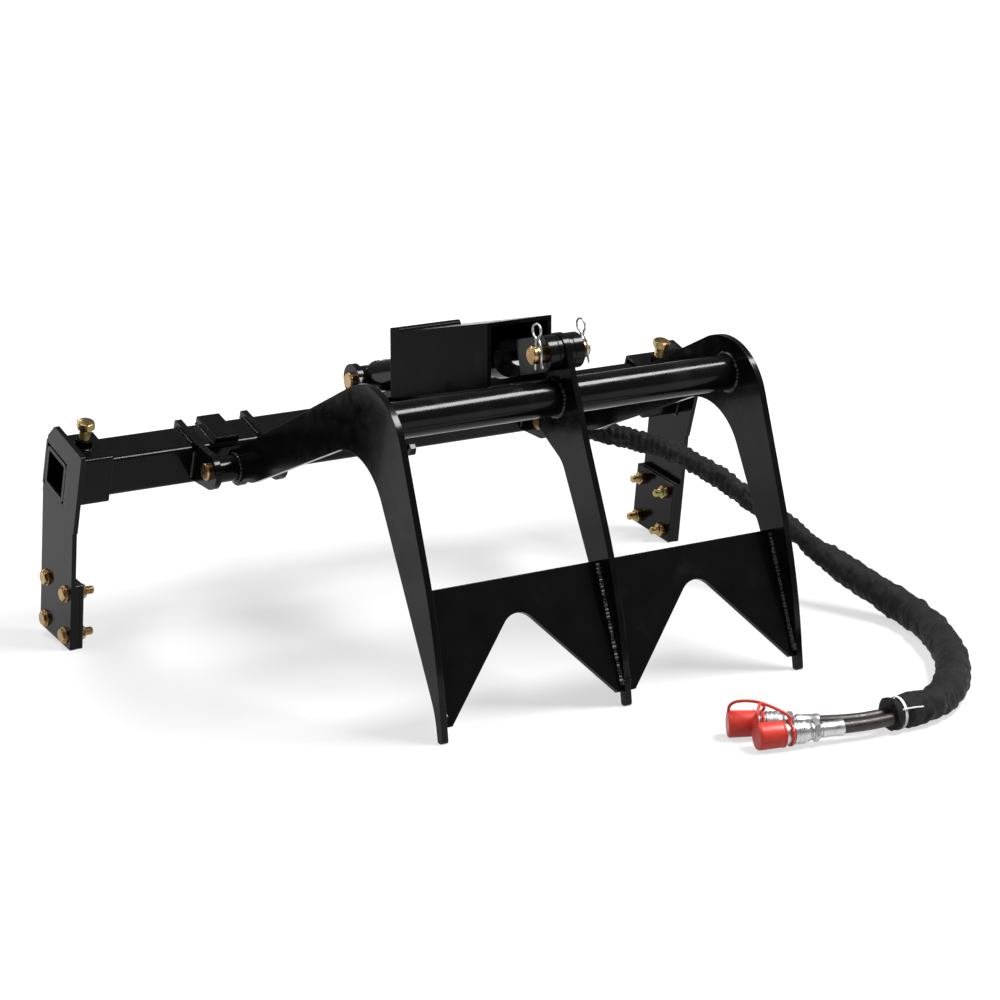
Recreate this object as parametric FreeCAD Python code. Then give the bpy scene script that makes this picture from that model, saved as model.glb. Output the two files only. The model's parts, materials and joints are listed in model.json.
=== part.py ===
import FreeCAD, Part
import math
import os

# Bolt-on grapple. Millimetres. X runs along the cross tube, -Y points out of the mouth, Z is up.
V = FreeCAD.Vector
X = V(1, 0, 0)

# Cross tube
tube_side = 63.5
tube_wall = 6.35
tube_round = 8.0
tube_half = 546.0
tube_height = 257.5
tube_tilt = 17.4

# Clamp sleeves that slide on the tube
sleeve_play = 1.6
sleeve_wall = 4.75
sleeve_length = 70.0
right_leg_back = 1.2
left_leg_face = -546.0
right_leg_face = 525.0

# Clamp bolts
clamp_shank = 15.9
clamp_flats = 23.8
clamp_nut_height = 14.0
clamp_shown = 17.0
clamp_head = 10.0
thread_play = 0.1

# Legs
plate = 9.5
leg_sheet = 7.0
leg_tilt = 7.7
leg_drop = 251.4
leg_front = -62.0
leg_back = 41.0
leg_upper_front = -75.0
leg_upper_back = 35.0
leg_top = 69.0
leg_knee = -45.0
stack_plate = 6.6
stack_edge = 0.8
stack_height = 100.0
bolt_spacing = 65.0
bolt_low = 17.0
bolt_shank = 12.0
thread_end = 11.5
bolt_hole = 12.8
bolt_flats = 19.0
bolt_head = 7.5
nut_height = 10.0
bolt_past_nut = 13.0

# Claw
claw_half = 293.0
hinge_y = -78.0
hinge_z = tube_height - 7.5
hinge_round = 27.0
arm_bend_y = -129.0
pin_size = 25.4
pin_play = 0.05
boss_size = 38.1
outer_ear_offset = 45.0
inner_ear_offset = 63.0
boss_gap = 3.25
pin_past_ear = 6.0
pin_chamfer = 2.0
pipe_size = 50.8
pipe_wall = 4.8
pipe_y = -475.0
pipe_z = 398.0
blade = 8.0
blade_top_y = -580.0
blade_top_z = 189.0
blade_foot_y = -648.0
blade_foot_z = 20.0
notch_peak = 35.0
notch_round = 30.0
tooth_width = 9.5

# Hinge ears hooked over the tube
hook = 7.0
strap_width = 38.0
strap_height = 12.0
strap_edge = 1.5

# Cylinder
base_y = 45.0
base_z = tube_height + 64.5
rod_y = -476.0
rod_z = 462.0
eye_round = 20.0
lug_round = 25.0
lug_inside = 25.25
base_pin_half = 42.0
barrel_size = 48.0
bore_size = 38.1
barrel_start = 24.0
bore_start = 44.0
barrel_end = 384.0
gland_size = 54.0
gland_length = 25.0
rod_size = 25.4
rod_play = 0.08
piston_length = 32.0
piston_back = 290.0
fork_half = 28.0
fork_inside = 13.1
fork_round = 25.0
fork_depth = 44.0
fork_back = 62.0
rod_pin_half = 46.0
ear_hole_play = 7.0
ear_round = 27.0
collar_gap = 0.8

# Guard over the barrel
guard_half = 53.0
guard_sheet = 6.0
guard_rear = -105.0
guard_front = -376.0
guard_rear_top = base_z + 104
guard_front_top = base_z + 168
guard_rear_low = base_z + 4
guard_front_low = base_z + 75
guard_slope = (guard_front_top - guard_rear_top) / (guard_front - guard_rear)
guard_lip = 7.0
guard_lip_reach = 24.0
saddle_sheet = 6.0
saddle_places = (175.0, 330.0)

# Ports and transfer tube
port_size = 22.0
port_places = (58.0, 88.0)
port_reach = (44.0, 62.5)
line_size = 10.0
line_gap = 12.0
line_end = 20.0
hose_size = 17.3
lead_ahead = (0.27, 0.94, -0.22)
lead_stop = 24.0

# Wrapped hose pair
wrap_size = 42.0
wrap_route = [(70, 48, 322), (135, 62, 275), (240, 60, 256), (330, 58, 214), (405, 0, 190),
              (440, -125, 186), (462, -245, 158), (493, -363, 108), (528, -460, 58), (559, -570, 23),
              (520, -690, 22.6), (455, -800, 22.6), (360, -900, 22.6), (290, -925, 22.6),
              (237, -921.5, 22.6)]
tie_width = 4.0
tie_sheet = 1.4

# Hose tails with ferrule, nut, coupler and dust cap; the last point of a route starts the ferrule
tail_height = 19.5
tail_a = [(237.5, -912), (186, -908.5), (143, -886)]
tail_b = [(235.5, -931.3), (194, -931), (155.6, -921.4)]
ferrule_size = 22.0
ferrule_length = 30.0
hose_nut_flats = 26.0
hose_nut_length = 16.0
coupler_size = 32.0
coupler_length = 40.0
cap_size = 38.0
cap_length = 32.0
lanyard_size = 4.0
lanyard_seat = 1.5


def box(x, y, z):
    """Block between three pairs of limits."""
    return Part.makeBox(x[1] - x[0], y[1] - y[0], z[1] - z[0], V(x[0], y[0], z[0]))


def outline(corners, place):
    """Closed outline; a third value in a corner is its rounding radius."""
    points = [place(c[0], c[1]) for c in corners]
    ends = []
    for i, corner in enumerate(corners):
        here = points[i]
        if len(corner) == 2:
            ends.append((here, None, here))
            continue
        back = (points[i - 1] - here).normalize()
        ahead = (points[(i + 1) % len(points)] - here).normalize()
        half = back.getAngle(ahead) / 2
        reach = corner[2] / math.tan(half)
        top = (back + ahead).normalize() * (corner[2] / math.sin(half) - corner[2])
        ends.append((here + back * reach, here + top, here + ahead * reach))
    edges = []
    for i, (start, middle, end) in enumerate(ends):
        if middle:
            edges.append(Part.Arc(start, middle, end).toShape())
        edges.append(Part.LineSegment(end, ends[(i + 1) % len(ends)][0]).toShape())
    return Part.Face(Part.Wire(edges))


def side(corners, start, end):
    """Plate cut to a side outline between two X positions."""
    return outline(corners, lambda y, z: V(start, y, z)).extrude(V(end - start, 0, 0))


def bar(start, end, y, z, size):
    """Round bar along X."""
    return Part.makeCylinder(size / 2, end - start, V(start, y, z), X)


def hexagon(start, ahead, flats, length):
    """Hexagon bar from a point along a direction."""
    prism = Part.Face(Part.makePolygon([
        V(flats / math.sqrt(3) * math.cos(math.radians(60 * i)),
          flats / math.sqrt(3) * math.sin(math.radians(60 * i)), 0) for i in range(7)]))
    prism = prism.extrude(V(0, 0, length))
    prism.Placement = FreeCAD.Placement(start, FreeCAD.Rotation(V(0, 0, 1), ahead))
    return prism


def tilted(shape, angle):
    """Turn a shape drawn round the tube's centre line and lift it to its place."""
    shape = shape.copy()
    shape.rotate(V(0, 0, 0), X, angle)
    shape.translate(V(0, 0, tube_height))
    return shape


def square(size, start, end, rounding=None):
    """Square bar along X round the tube's centre line, before the tilt."""
    h = size / 2
    corner = (rounding,) if rounding else ()
    return side([(-h, -h) + corner, (h, -h) + corner, (h, h) + corner, (-h, h) + corner], start, end)


def pin(start, end, y, z):
    """Hinge pin with chamfered ends."""
    shape = bar(start, end, y, z, pin_size)
    return shape.makeChamfer(pin_chamfer, [e for e in shape.Edges if e.Closed])


# Frame
sleeve_inner = tube_side + 2 * sleeve_play
sleeve_outer = sleeve_inner + 2 * sleeve_wall
sleeve_top = sleeve_play + sleeve_outer / 2
left_inside = left_leg_face + sleeve_length
right_inside = right_leg_face - sleeve_length
left_clamp_x = left_leg_face + sleeve_length * 0.57
right_clamp_x = right_leg_face - sleeve_length * 0.5


def main_tube():
    inner = tube_side - 2 * tube_wall
    shell = square(tube_side, -tube_half, tube_half, tube_round)
    shell = shell.cut(square(inner, -tube_half, tube_half, tube_round - tube_wall))
    return tilted(shell, tube_tilt)


def sleeve(start, end, bolt_x):
    outer = square(sleeve_outer, start, end, sleeve_wall)
    shape = outer.cut(square(sleeve_inner, start, end))
    shape.translate(V(0, 0, sleeve_play))
    hole = Part.makeCylinder(clamp_shank / 2 + thread_play, sleeve_outer, V(bolt_x, 0, 0))
    return tilted(shape.cut(hole), tube_tilt)


def clamp_nut(bolt_x):
    nut = hexagon(V(bolt_x, 0, sleeve_top), V(0, 0, 1), clamp_flats, clamp_nut_height)
    hole = Part.makeCylinder(clamp_shank / 2 + thread_play, sleeve_outer * 2, V(bolt_x, 0, 0))
    return tilted(nut.cut(hole), tube_tilt)


def clamp_bolt(bolt_x):
    head_base = sleeve_top + clamp_nut_height + clamp_shown
    shank = Part.makeCylinder(clamp_shank / 2, head_base - tube_side / 2, V(bolt_x, 0, tube_side / 2))
    head = hexagon(V(bolt_x, 0, head_base), V(0, 0, 1), clamp_flats, clamp_head)
    return tilted(shank.fuse(head).removeSplitter(), tube_tilt)


def leg_holes(start, end):
    middle = (leg_front + leg_back) / 2
    holes = []
    for y in (middle - bolt_spacing / 2, middle + bolt_spacing / 2):
        for z in (bolt_low - leg_drop, bolt_low - leg_drop + bolt_spacing):
            holes.append(bar(start, end, y, z, bolt_hole))
    return Part.makeCompound(holes)


def leg_plate(start):
    end = start + leg_sheet
    upper = side([(leg_upper_front, leg_knee), (leg_upper_back, leg_knee), (leg_upper_back, 45),
                  (17.5, leg_top, 6), (leg_upper_front, leg_top, 4)], start, end)
    lower = side([(leg_front, -leg_drop), (leg_back, -leg_drop), (leg_back, leg_knee),
                  (leg_front, leg_knee)], start, end)
    hollow = square(sleeve_outer, start, end, sleeve_wall)
    hollow.translate(V(0, 0, sleeve_play))
    lower = tilted(lower.cut(leg_holes(start, end)), leg_tilt)
    knee = side([(leg_upper_front, leg_knee - 12), (leg_upper_back - 4, leg_knee - 12),
                 (leg_upper_back, leg_knee), (leg_upper_front, leg_knee)], start, end)
    upper = tilted(upper.cut(hollow).fuse(knee.cut(hollow)), tube_tilt)
    return upper.fuse(lower).removeSplitter()


def stack(start, end):
    block = box((start, end), (leg_front, leg_back), (-leg_drop, stack_height - leg_drop))
    block = block.makeChamfer(stack_edge, block.Edges)
    return tilted(block.cut(leg_holes(start, end)), leg_tilt)


def leg_bolts(face, inward):
    """Four bolts with their heads on the outer face, and the four nuts inside the stack."""
    middle = (leg_front + leg_back) / 2
    grip = leg_sheet + 2 * stack_plate
    bolts = []
    nuts = []
    for y in (middle - bolt_spacing / 2, middle + bolt_spacing / 2):
        for z in (bolt_low - leg_drop, bolt_low - leg_drop + bolt_spacing):
            head = hexagon(V(face, y, z), X * -inward, bolt_flats, bolt_head)
            length = grip + nut_height
            shank = Part.makeCylinder(bolt_shank / 2, length, V(face, y, z), X * inward)
            tip = V(face + inward * length, y, z)
            end = Part.makeCylinder(thread_end / 2, bolt_past_nut, tip, X * inward)
            bolts.append(tilted(head.fuse([shank, end]).removeSplitter(), leg_tilt))
            seat = V(face + inward * grip, y, z)
            nut = hexagon(seat, X * inward, bolt_flats, nut_height)
            bore = Part.makeCylinder(bolt_shank / 2 + thread_play, nut_height, seat, X * inward)
            nuts.append(tilted(nut.cut(bore), leg_tilt))
    return Part.makeCompound(bolts), Part.makeCompound(nuts)


def settled(shape):
    """Right leg piece, pushed back a little inside its sleeve's play."""
    turn = math.radians(tube_tilt)
    shape = shape.copy()
    shape.translate(V(0, math.cos(turn), math.sin(turn)) * right_leg_back)
    return shape


def in_tube(y, z):
    """Side position of a point given round the tube's centre line."""
    turn = math.radians(tube_tilt)
    return (y * math.cos(turn) - z * math.sin(turn), tube_height + y * math.sin(turn) + z * math.cos(turn))


def around_tube():
    return tilted(square(tube_side, -tube_half, tube_half), tube_tilt)


def ear(middle):
    """Hinge ear: a rounded nose on the pin and a hook over the tube."""
    h = tube_side / 2
    start = middle - plate / 2
    end = middle + plate / 2
    body = side([(hinge_y, hinge_z - hinge_round), (-18, hinge_z - hinge_round + 3),
                 in_tube(-h + hook, 0), in_tube(h, h * 0.2), in_tube(h + hook, h * 0.2),
                 in_tube(h + hook, h + hook) + (4,), in_tube(-h - hook / 2, h + hook) + (10,),
                 (hinge_y, hinge_z + hinge_round)], start, end)
    shape = body.fuse(bar(start, end, hinge_y, hinge_z, 2 * hinge_round)).cut(around_tube())
    return shape.cut(bar(start, end, hinge_y, hinge_z, pin_size + 2 * pin_play)).removeSplitter()


def strap(start, end):
    h = tube_side / 2
    block = box((start, end), (-h - hook / 2, h), (h, h + strap_height))
    return tilted(block.makeChamfer(strap_edge, block.Edges), tube_tilt)


def cylinder_lug(start, end):
    h = tube_side / 2
    body = side([in_tube(-h - hook, -h - hook) + (6,), in_tube(h + hook, -h - hook) + (6,),
                 in_tube(h + hook + 14, 5) + (30,), (base_y + lug_round * 0.94, base_z - 8),
                 (base_y - lug_round * 0.6, base_z + lug_round * 0.8), in_tube(8, h + hook),
                 in_tube(0, h + hook), in_tube(0, 0), in_tube(-h - hook, -h + hook)], start, end)
    shape = body.fuse(bar(start, end, base_y, base_z, 2 * lug_round)).cut(around_tube())
    return shape.cut(bar(start, end, base_y, base_z, pin_size + 2 * pin_play)).removeSplitter()


ear_reach = plate / 2 + pin_past_ear
outer_ear_face = plate / 2 - outer_ear_offset
inner_ear_face = inner_ear_offset - plate / 2

# Claw
outer_edge = [(-518, 485, 96), (-639, 140, 900), (-657.5, 0, 5)]
inner_edge = [(-645, 0, 3), (-638, 38, 120), (-460, 373.5, 95)]


def claw_plate(middle):
    start = middle - plate / 2
    end = middle + plate / 2
    corners = [(hinge_y, hinge_z + hinge_round)] + outer_edge + inner_edge + [
        (arm_bend_y, hinge_z - 12.5, 60), (hinge_y, hinge_z - 17)]
    body = side(corners, start, end).fuse(bar(start, end, hinge_y, hinge_z, 2 * hinge_round))
    return body.cut(bar(start, end, hinge_y, hinge_z, boss_size)).removeSplitter()


def centre_plate():
    start = -plate / 2
    body = side([(-432, 347, 6), (rod_y + ear_round, 420, 40), (rod_y + ear_round, rod_z),
                 (rod_y, rod_z + ear_round),
                 (rod_y - ear_round * 0.86, rod_z + ear_round * 0.5), (-550, 345, 150)]
                + outer_edge[1:] + inner_edge[:2] + [(-493, 311, 40)], start, -start)
    body = body.fuse(bar(start, -start, rod_y, rod_z, 2 * ear_round))
    hole = bar(start, -start, rod_y, rod_z, pin_size + 2 * ear_hole_play)
    return body.cut(hole).removeSplitter()


def ear_collars():
    """Rings that fill the fork on both sides of the centre plate."""
    rings = []
    for near, far in ((plate / 2, fork_inside - collar_gap), (collar_gap - fork_inside, -plate / 2)):
        ring = bar(near, far, rod_y, rod_z, 2 * fork_round)
        rings.append(ring.cut(bar(near, far, rod_y, rod_z, pin_size + 2 * ear_hole_play)))
    return Part.makeCompound(rings)


def cross_pipe(start, end):
    shell = bar(start, end, pipe_y, pipe_z, pipe_size)
    return shell.cut(bar(start, end, pipe_y, pipe_z, pipe_size - 2 * pipe_wall))


def notched_blade(start, end):
    """Blade drawn across X and down its slope, with a rounded notch open at the foot."""
    down = V(0, blade_foot_y - blade_top_y, blade_foot_z - blade_top_z)
    length = down.Length
    down.normalize()
    across = down.cross(X)
    middle = (start + end) / 2
    half = (end - start) / 2
    corner = V(middle, blade_top_y, blade_top_z) - across * (blade / 2)
    foot = half - tooth_width
    face = outline([(-half, 0), (half, 0), (half, length), (foot, length), (0, notch_peak, notch_round),
                    (-foot, length), (-half, length)], lambda u, w: corner + X * u + down * w)
    return face.extrude(across * blade)


def hinge_boss(start, end):
    """Bush between two ears; the ears stand a gap away from its ends."""
    start += boss_gap
    end -= boss_gap
    return bar(start, end, hinge_y, hinge_z, boss_size).cut(
        bar(start, end, hinge_y, hinge_z, pin_size + 2 * pin_play))


# Cylinder, placed along the line from its base pin to its rod pin
base = V(0, base_y, base_z)
ahead = (V(0, rod_y, rod_z) - base)
pin_to_pin = ahead.Length
ahead.normalize()


def along(near, far, size):
    """Round bar on the cylinder's own line between two distances from the base pin."""
    return Part.makeCylinder(size / 2, far - near, base + ahead * near, ahead)


def barrel():
    eye_half = lug_inside - 0.5
    eye = bar(-eye_half, eye_half, base_y, base_z, 2 * eye_round)
    shape = along(0, barrel_start, 2 * eye_round - 4).fuse(along(barrel_start, barrel_end, barrel_size))
    shape = shape.fuse(eye).cut(along(bore_start, barrel_end, bore_size))
    return shape.cut(bar(-eye_half, eye_half, base_y, base_z, pin_size + 2 * pin_play)).removeSplitter()


def gland():
    ring = along(barrel_end, barrel_end + gland_length, gland_size)
    return ring.cut(along(barrel_end, barrel_end + gland_length, rod_size + 2 * rod_play))


def piston():
    return along(piston_back, piston_back + piston_length, bore_size - 2 * rod_play)


def rod():
    return along(piston_back + piston_length, pin_to_pin - fork_depth, rod_size)


def fork():
    """Two eyes and a base block, bored for the rod and the pin."""
    block = bar(-fork_half, fork_half, rod_y, rod_z, 2 * fork_round)
    arms = oriented_block(fork_half, fork_round, pin_to_pin - fork_back, pin_to_pin)
    slot = oriented_block(fork_inside, 2 * fork_round, pin_to_pin - fork_depth, pin_to_pin + 2 * fork_round)
    shape = block.fuse(arms).cut(slot)
    shape = shape.cut(along(pin_to_pin - fork_back, pin_to_pin - fork_depth, rod_size))
    return shape.cut(bar(-fork_half, fork_half, rod_y, rod_z, pin_size + 2 * pin_play)).removeSplitter()


def oriented_block(half_x, half_up, near, far):
    up = X.cross(ahead)
    low = base + ahead * near - up * half_up
    face = Part.Face(Part.makePolygon([low - X * half_x, low + X * half_x, low + X * half_x + up * 2 * half_up,
                                       low - X * half_x + up * 2 * half_up, low - X * half_x]))
    return face.extrude(ahead * (far - near))


clip_wire = 3.0
clip_place = 38.0
clip_height = 42.0
clip_below = 20.0


def hairpin(x):
    """Clip with one leg through the pin and one round its outside, joined by a loop."""
    reach = (pin_size + clip_wire) / 2 + 0.1
    low = rod_z - clip_below
    neck = rod_z + clip_height - reach / 2
    legs = [Part.makeCylinder(clip_wire / 2, neck - low, V(x, y, low)) for y in (rod_y, rod_y - reach)]
    loop = Part.makeTorus(reach / 2, clip_wire / 2, V(x, rod_y - reach / 2, neck), X)
    upper = box((x - clip_wire, x + clip_wire), (rod_y - 2 * reach, rod_y + reach), (neck, neck + 2 * reach))
    return loop.common(upper).fuse(legs).removeSplitter()


def swept(path, start, direction, size):
    ring = Part.Wire(Part.makeCircle(size / 2, start, direction))
    return path.makePipeShell([ring], True, True)


def fork_pin():
    shape = pin(-rod_pin_half, rod_pin_half, rod_y, rod_z)
    for x in (-clip_place, clip_place):
        shape = shape.cut(Part.makeCylinder(clip_wire / 2 + 0.1, pin_size, V(x, rod_y, rod_z - pin_size / 2)))
    return shape


def roof(y, drop):
    """Height of the guard's sloping top at a place along Y, less a drop."""
    return guard_rear_top - drop + guard_slope * (y - guard_rear)


def guard():
    """Sheet cover: two side walls, a top, and a lip raised along the rear edge."""
    outer = [(guard_rear, guard_rear_low, 4), (guard_rear, guard_rear_top), (guard_front, guard_front_top),
             (guard_front, guard_front_low, 4)]
    shell = side(outer, -guard_half, guard_half)
    ends = (guard_rear + 1, guard_front - 1)
    inner = [(ends[0], guard_rear_low - 60), (ends[0], roof(ends[0], guard_sheet)),
             (ends[1], roof(ends[1], guard_sheet)), (ends[1], guard_front_low - 60)]
    shell = shell.cut(side(inner, guard_sheet - guard_half, guard_half - guard_sheet))
    lip_end = guard_rear - guard_lip_reach
    lip = side([(guard_rear, roof(guard_rear, 1)), (guard_rear, roof(guard_rear, -guard_lip)),
                (lip_end, roof(lip_end, -guard_lip), 6), (lip_end - 2, roof(lip_end, 1))],
               -guard_half, guard_half)
    return shell.fuse(lip).removeSplitter()


def guard_saddle(place):
    """Cross plate that carries the guard on the barrel."""
    middle = base + ahead * place
    near = middle.y + saddle_sheet / 2
    far = middle.y - saddle_sheet / 2
    reach = guard_half - guard_sheet
    sheet = side([(near, middle.z - 18), (near, roof(near, guard_sheet)), (far, roof(far, guard_sheet)),
                  (far, middle.z - 18)], -reach, reach)
    sheet = sheet.cut(along(place - 30, place + 30, barrel_size + 0.2))
    line = Part.makeCylinder(line_size / 2 + 0.3, 60, line_point(place - 30), ahead)
    return sheet.cut(line)


def line_point(place):
    return base + ahead * place + X * (barrel_size / 2 + line_gap)


def transfer_tube():
    """Steel line from the gland end back to the front port."""
    start = line_point(port_places[1])
    end = line_point(barrel_end - line_end)
    straight = Part.makeCylinder(line_size / 2, (end - start).Length, start, ahead)
    seat = base + ahead * (barrel_end - line_end)
    foot = Part.makeCylinder(line_size / 2, barrel_size / 2 + line_gap, seat, X)
    shape = straight.fuse(foot).fuse(Part.makeSphere(line_size / 2, end))
    shape = shape.cut(port_boss(port_places[1], port_reach[1]))
    return shape.cut(along(barrel_start, barrel_end, barrel_size)).removeSplitter()


def port_boss(place, reach):
    return Part.makeCylinder(port_size / 2, reach, base + ahead * place, X)


def port(place, reach):
    """Port boss and elbow that turns the hose back toward the tube."""
    seat = base + ahead * place
    lead = V(*lead_ahead).normalize()
    nut = hexagon(seat + X * reach, lead, port_size * 0.9, port_size)
    shape = port_boss(place, reach + port_size * 0.4).fuse(nut).cut(along(barrel_start, barrel_end, barrel_size))
    return shape.removeSplitter()


def lead_start(place, reach):
    return base + ahead * place + X * reach + V(*lead_ahead).normalize() * port_size


def hose_lead(place, reach):
    start = lead_start(place, reach)
    lead = V(*lead_ahead).normalize()
    return Part.makeCylinder(hose_size / 2, (lead_stop - start.y) / lead.y, start, lead)


# Hoses
def bent_tube(points, size, name):
    """Tube of straight runs joined by tangent arcs."""
    edges = []
    last = points[0]
    tightest = None
    for i in range(1, len(points) - 1):
        back = points[i - 1] - points[i]
        ahead_run = points[i + 1] - points[i]
        turn = math.pi - back.getAngle(ahead_run)
        shorter = min(back.Length, ahead_run.Length)
        reach = 0.45 * shorter
        radius = reach / math.tan(turn / 2)
        tightest = radius if tightest is None else min(tightest, radius)
        back.normalize()
        ahead_run.normalize()
        inward = (back + ahead_run).normalize()
        gap = radius / math.cos(turn / 2) - radius
        start = points[i] + back * reach
        end = points[i] + ahead_run * reach
        edges.append(Part.LineSegment(last, start).toShape())
        edges.append(Part.Arc(start, points[i] + inward * gap, end).toShape())
        last = end
    edges.append(Part.LineSegment(last, points[-1]).toShape())
    path = Part.Wire(edges)
    tube = swept(path, points[0], points[1] - points[0], size)
    print(name, "length", round(path.Length, 1), "tightest bend", round(tightest, 1),
          "volume ratio", round(tube.Volume / (path.Length * math.pi * size * size / 4), 4))
    return tube


def fittings(route):
    """Ferrule, nut, coupler and cap in line behind the end of a hose tail."""
    end = V(route[-1][0], route[-1][1], tail_height)
    line = (end - V(route[-2][0], route[-2][1], tail_height)).normalize()
    spots = [0, ferrule_length, ferrule_length + hose_nut_length,
             ferrule_length + hose_nut_length + coupler_length]
    ferrule = Part.makeCylinder(ferrule_size / 2, ferrule_length, end, line)
    nut = hexagon(end + line * spots[1], line, hose_nut_flats, hose_nut_length)
    coupler = Part.makeCylinder(coupler_size / 2, coupler_length, end + line * spots[2], line)
    cap = Part.makeCylinder(cap_size / 2, cap_length, end + line * spots[3], line)
    return ferrule, nut, coupler, cap, end + line * spots[2], line


def lanyard(coupler, cap, spot, line):
    """Strap that ties the dust cap to the coupler."""
    start = spot + V(0, 0, coupler_size / 2 + lanyard_seat) + line * 6
    end = spot + line * (coupler_length + 12) + V(0, 0, cap_size / 2 + lanyard_seat)
    strap_bar = Part.makeCylinder(lanyard_size / 2, (end - start).Length, start, end - start)
    return strap_bar.cut(coupler).cut(cap)


def sleeve_tie():
    end = V(*wrap_route[-1])
    line = (V(*wrap_route[-2]) - end).normalize()
    ring = Part.makeCylinder(wrap_size / 2 + tie_sheet, tie_width, end + line * 14, line)
    return ring.cut(Part.makeCylinder(wrap_size / 2 + 0.05, tie_width, end + line * 14, line))


left_bolts, left_nuts = leg_bolts(left_leg_face, 1)
right_bolts, right_nuts = leg_bolts(right_leg_face, -1)
left_stack = left_leg_face + leg_sheet
right_stack = right_leg_face - leg_sheet
inner_face = claw_half - plate / 2
tail_parts = [fittings(tail_a), fittings(tail_b)]

pieces = {
    "main_tube": main_tube(),
    "left_sleeve": sleeve(left_leg_face, left_inside, left_clamp_x),
    "right_sleeve": settled(sleeve(right_inside, right_leg_face, right_clamp_x)),
    "left_leg_plate": leg_plate(left_leg_face),
    "right_leg_plate": settled(leg_plate(right_leg_face - leg_sheet)),
    "left_spacer_plate": stack(left_stack, left_stack + stack_plate),
    "right_spacer_plate": settled(stack(right_stack - stack_plate, right_stack)),
    "left_back_plate": stack(left_stack + stack_plate, left_stack + 2 * stack_plate),
    "right_back_plate": settled(stack(right_stack - 2 * stack_plate, right_stack - stack_plate)),
    "left_leg_bolts": left_bolts,
    "right_leg_bolts": settled(right_bolts),
    "left_leg_nuts": left_nuts,
    "right_leg_nuts": settled(right_nuts),
    "left_clamp_nut": clamp_nut(left_clamp_x),
    "right_clamp_nut": settled(clamp_nut(right_clamp_x)),
    "left_clamp_bolt": clamp_bolt(left_clamp_x),
    "right_clamp_bolt": settled(clamp_bolt(right_clamp_x)),
    "left_outer_ear": ear(-claw_half - outer_ear_offset),
    "left_inner_ear": ear(-claw_half + inner_ear_offset),
    "right_inner_ear": ear(claw_half - inner_ear_offset),
    "right_outer_ear": ear(claw_half + outer_ear_offset),
    "left_saddle_strap": strap(-claw_half - strap_width / 2, -claw_half + strap_width / 2),
    "right_saddle_strap": strap(claw_half - strap_width / 2, claw_half + strap_width / 2),
    "left_hinge_pin": pin(-claw_half - outer_ear_offset - ear_reach, -claw_half + inner_ear_offset + ear_reach,
                          hinge_y, hinge_z),
    "right_hinge_pin": pin(claw_half - inner_ear_offset - ear_reach, claw_half + outer_ear_offset + ear_reach,
                           hinge_y, hinge_z),
    "left_cylinder_lug": cylinder_lug(-lug_inside - plate, -lug_inside),
    "right_cylinder_lug": cylinder_lug(lug_inside, lug_inside + plate),
    "base_pin": pin(-base_pin_half, base_pin_half, base_y, base_z),
    "claw_plate_left": claw_plate(-claw_half),
    "claw_plate_centre": centre_plate(),
    "claw_plate_right": claw_plate(claw_half),
    "centre_ear_collars": ear_collars(),
    "cross_pipe_left": cross_pipe(-inner_face, -plate / 2),
    "cross_pipe_right": cross_pipe(plate / 2, inner_face),
    "blade_left": notched_blade(-inner_face, -plate / 2),
    "blade_right": notched_blade(plate / 2, inner_face),
    "left_hinge_boss": hinge_boss(outer_ear_face - claw_half, inner_ear_face - claw_half),
    "right_hinge_boss": hinge_boss(claw_half - inner_ear_face, claw_half - outer_ear_face),
    "cylinder_barrel": barrel(),
    "cylinder_gland": gland(),
    "cylinder_guard": guard(),
    "guard_saddles": Part.makeCompound([guard_saddle(p) for p in saddle_places]),
    "transfer_tube": transfer_tube(),
    "port_fittings": Part.makeCompound([port(p, r) for p, r in zip(port_places, port_reach)]),
    "hose_leads": Part.makeCompound([hose_lead(p, r) for p, r in zip(port_places, port_reach)]),
    "rod_piston": piston(),
    "cylinder_rod": rod(),
    "rod_fork": fork(),
    "fork_pin": fork_pin(),
    "hairpin_clips": Part.makeCompound([hairpin(-clip_place), hairpin(clip_place)]),
    "hose_sleeve": bent_tube([V(*p) for p in wrap_route], wrap_size, "sleeve"),
    "sleeve_tie": sleeve_tie(),
    "hose_tail_a": bent_tube([V(p[0], p[1], tail_height) for p in tail_a], hose_size, "tail a"),
    "hose_tail_b": bent_tube([V(p[0], p[1], tail_height) for p in tail_b], hose_size, "tail b"),
    "hose_ferrules": Part.makeCompound([t[0] for t in tail_parts]),
    "hose_nuts": Part.makeCompound([t[1] for t in tail_parts]),
    "hose_couplers": Part.makeCompound([t[2] for t in tail_parts]),
    "dust_caps": Part.makeCompound([t[3] for t in tail_parts]),
    "cap_lanyards": Part.makeCompound([lanyard(*t[2:]) for t in tail_parts]),
}

# The origin sits under the middle of everything except the hoses
cords = ("hose_sleeve", "sleeve_tie", "hose_tail_a", "hose_tail_b", "hose_ferrules", "hose_nuts",
         "hose_couplers", "dust_caps", "cap_lanyards", "hose_leads")
limits = FreeCAD.BoundBox()
for name, shape in pieces.items():
    if name not in cords:
        limits.add(shape.optimalBoundingBox(False))
shift = V(-limits.Center.x, -limits.Center.y, -limits.ZMin)
os.makedirs("parts", exist_ok=True)
for name, shape in pieces.items():
    shape = shape.copy()
    shape.translate(shift)
    if not shape.isValid() or shape.Volume <= 0:
        print("BAD", name, shape.isValid(), shape.Volume)
    shape.exportStep("parts/" + name + ".step")

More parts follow.
